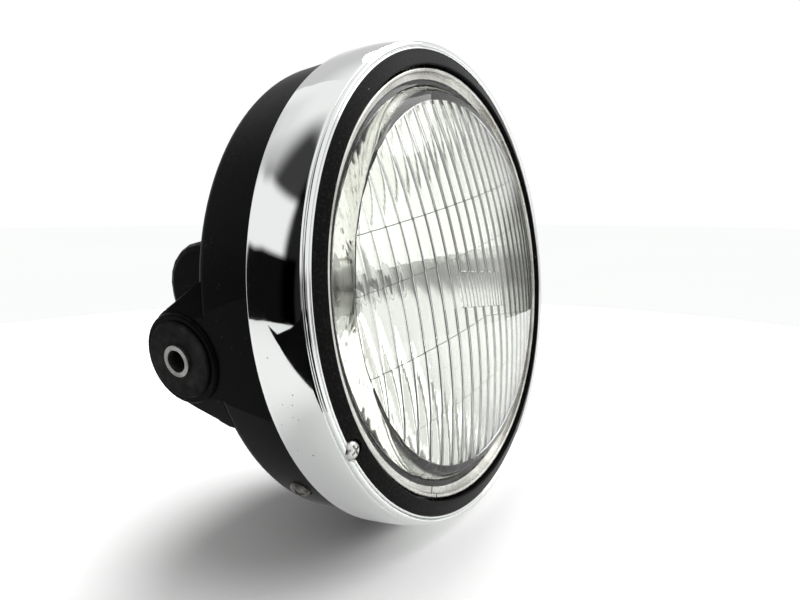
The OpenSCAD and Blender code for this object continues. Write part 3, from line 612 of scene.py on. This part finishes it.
def make_floor():
    """A pale floor that is white away from the lamp, clear from below, and a far floor that only the camera sees."""
    s = Surface("floor", (0.88, 0.88, 0.88), 0.6, Specular_IOR_Level=0.1)
    s.color(s.blend(s.noise(6, 3), (0.87, 0.88, 0.87), (0.9, 0.9, 0.89)))
    away = s.add("ShaderNodeVectorMath", operation="DISTANCE")
    s.feed(away.inputs[0], s.place)
    away.inputs[1].default_value = SHADOW_MIDDLE
    glow = s.span(away.outputs["Value"], *SHADOW_FADE, 0.0, FLOOR_GLOW, smooth=True)
    s.feed(s.shader.inputs["Emission Strength"], floor_glow(s, glow, MIRRORED_GLOW))
    s.shader.inputs["Emission Color"].default_value = (1, 1, 1, 1)
    s.clear_from_behind()
    make_disc("floor", NEAR_FLOOR_R, 0, s.material)

    f = Surface("far_floor", (0, 0, 0), 1.0, Specular_IOR_Level=0.0)
    f.shader.inputs["Emission Color"].default_value = (0.985, 1, 0.99, 1)
    f.feed(f.shader.inputs["Emission Strength"], f.span(f.noise(2, 2), 0, 1, 0.96, 0.99))
    f.clear_from_behind()
    far = make_disc("far_floor", FAR_FLOOR_R, FAR_FLOOR_DROP, f.material)
    hide_from(far, "glossy", "transmission", "diffuse", "shadow")


def ramp(value, start, end):
    """Smooth rise from 0 to 1."""
    part = max(0.0, min(1.0, (value - start) / (end - start)))
    return part * part * (3 - 2 * part)


# Dark and grey patches of painted reflection on the walls round the lamp: azimuths and elevations, in degrees,
# between which each one fades in and out, and its depth. Azimuth 0 is ahead of the lamp and 90 is its right side.
REFLECTION_PATCHES = [
    ((103, 105, 140, 144), (-25, -24, 13, 16), 0.995),
    ((78, 84, 111, 118), (-25, -24, 40, 64), 0.985),
    ((6, 18, 84, 90), (-14, -10, 8, 16), 0.75),
    ((104, 110, 138, 172), (33, 38, 56, 74), 0.95),
    ((152, 166, 186, 200), (-25, -20, 30, 60), 0.35),
    ((-200, -198, -76, -70), (-20, -19, 4, 9), 0.9),
    ((-195, -160, -90, -68), (12, 34, 44, 66), 0.35),
]


def painted_reflection_glow(azimuth, elevation):
    glow = 1.0
    for across, up, depth in REFLECTION_PATCHES:
        inside = ramp(azimuth, *across[:2]) - ramp(azimuth, *across[2:])
        glow *= 1 - depth * inside * (ramp(elevation, *up[:2]) - ramp(elevation, *up[2:]))
    return glow


def glow_material(name):
    """Emission by the mesh's own glow attribute."""
    material = bpy.data.materials.new(name)
    material.use_nodes = True
    tree = material.node_tree
    tree.nodes.clear()
    source = tree.nodes.new("ShaderNodeAttribute")
    source.attribute_name = "glow"
    light = tree.nodes.new("ShaderNodeEmission")
    tree.links.new(source.outputs["Fac"], light.inputs["Color"])
    tree.links.new(light.outputs[0], tree.nodes.new("ShaderNodeOutputMaterial").inputs["Surface"])
    return material


def make_reflection_walls():
    """Curved walls that only the chrome and the glass see, white apart from their patches: painted reflections, which
    don't light the lamp.
    """
    centre = lamp_point(0, MIDDLE_D, 0)
    ahead = (Vector((0, -1, 0)) - UP * -UP.y).normalized()
    right = ahead.cross(UP).normalized()
    for name, first, last, low, high in (("right_reflection_wall", 2, 204, -25, 70), ("left_reflection_wall", -202, -66, -20, 68)):
        across, rows = int((last - first) / WALL_STEP), int((high - low) / WALL_STEP)
        points, glows = [], []
        for k in range(rows + 1):
            for i in range(across + 1):
                azimuth, elevation = first + i * WALL_STEP, low + k * WALL_STEP
                turn, tilt = math.radians(azimuth), math.radians(elevation)
                out = ahead * math.cos(turn) + right * math.sin(turn) + UP * math.tan(tilt)
                points.append(centre + WALL_R * out)
                # Painted reflection: each point's glow is white, darkened inside the patches.
                glows.append(painted_reflection_glow(azimuth, elevation))
        size = across + 1
        faces = [(k * size + i, k * size + i + 1, (k + 1) * size + i + 1, (k + 1) * size + i)
                 for k in range(rows) for i in range(across)]
        wall = stage_object(name, points, faces, glow_material(name))
        wall.data.attributes.new("glow", "FLOAT", "POINT").data.foreach_set("value", glows)
        hide_from(wall, "camera", "diffuse", "shadow")


def make_dark_reflection_card():
    """Low dark wedge beside the rim that only the chrome and the glass see: painted shade in their reflections. It
    runs back and down to the floor.
    """
    feet = [(-172, -60, 25), (-178, -20, 25), (-190, 15, 22), (-235, 60, 8), (-330, 160, -10), (-470, 330, -25)]
    points = []
    for x, depth, top in feet:
        floor = (FLOOR_AT - UP.x * x - UP.y * depth) / UP.z
        points += [lamp_point(x, depth, floor), lamp_point(x, depth, top)]
    faces = [(2 * i, 2 * i + 2, 2 * i + 3, 2 * i + 1) for i in range(len(feet) - 1)]
    # Near black: the painted shade that the chrome and the glass reflect.
    s = Surface("painted_shade_card", (0.004, 0.004, 0.004), 0.9, Specular_IOR_Level=0.0)
    s.color(s.blend(s.noise(20, 2), (0.003, 0.003, 0.003), (0.006, 0.006, 0.006)))
    wall = stage_object("painted_shade_card", points, faces, s.material)
    hide_from(wall, "camera", "diffuse", "shadow")


def make_lights():
    world = bpy.data.worlds.new("studio")
    bpy.context.scene.world = world
    world.use_nodes = True
    tree = world.node_tree
    tree.nodes.clear()
    path = tree.nodes.new("ShaderNodeLightPath")
    seen = path.outputs["Is Camera Ray"]
    for name in ("Is Glossy Ray", "Is Transmission Ray"):
        either = tree.nodes.new("ShaderNodeMath")
        either.operation = "MAXIMUM"
        tree.links.new(seen, either.inputs[0])
        tree.links.new(path.outputs[name], either.inputs[1])
        seen = either.outputs["Value"]
    mix = tree.nodes.new("ShaderNodeMixShader")
    tree.links.new(seen, mix.inputs[0])
    for socket, strength in ((mix.inputs[1], WORLD_LIGHT), (mix.inputs[2], WORLD_SEEN)):
        light = tree.nodes.new("ShaderNodeBackground")
        light.inputs["Color"].default_value = (1, 1, 1, 1)
        light.inputs["Strength"].default_value = strength
        tree.links.new(light.outputs[0], socket)
    out = tree.nodes.new("ShaderNodeOutputWorld")
    tree.links.new(mix.outputs[0], out.inputs["Surface"])
    for name, place, size, power in (("key", (640, 190, 720), 0.45, 7.0), ("fill", (600, -500, 500), 0.6, 2.0)):
        data = bpy.data.lights.new(name, "AREA")
        data.shape = "DISK"
        data.size = size
        data.energy = power
        lamp = bpy.data.objects.new(name, data)
        lamp.location = lamp_point(*place)
        aim = lamp_point(0, 40, 0) - lamp.location
        lamp.rotation_euler = aim.to_track_quat("-Z", "Y").to_euler()
        bpy.context.scene.collection.objects.link(lamp)


make_camera()
materials = make_materials()
for part in frame["record"]["subparts"]:
    node = frame["nodes"][part["node"]]
    node.data.materials.clear()
    # The rim's screws get the dark steel: painted shade, not their own colour.
    finish = "shade_dark_steel" if part["node"] == "rim_screws" else part["material_slot"]
    node.data.materials.append(materials[finish])
make_lens(materials["lens_glass"])
make_rim(materials["rim_chrome"])
make_spring(materials["spring_steel"])
make_floor()
make_reflection_walls()
make_dark_reflection_card()
make_lights()
bpy.context.scene.view_settings.view_transform = "Standard"
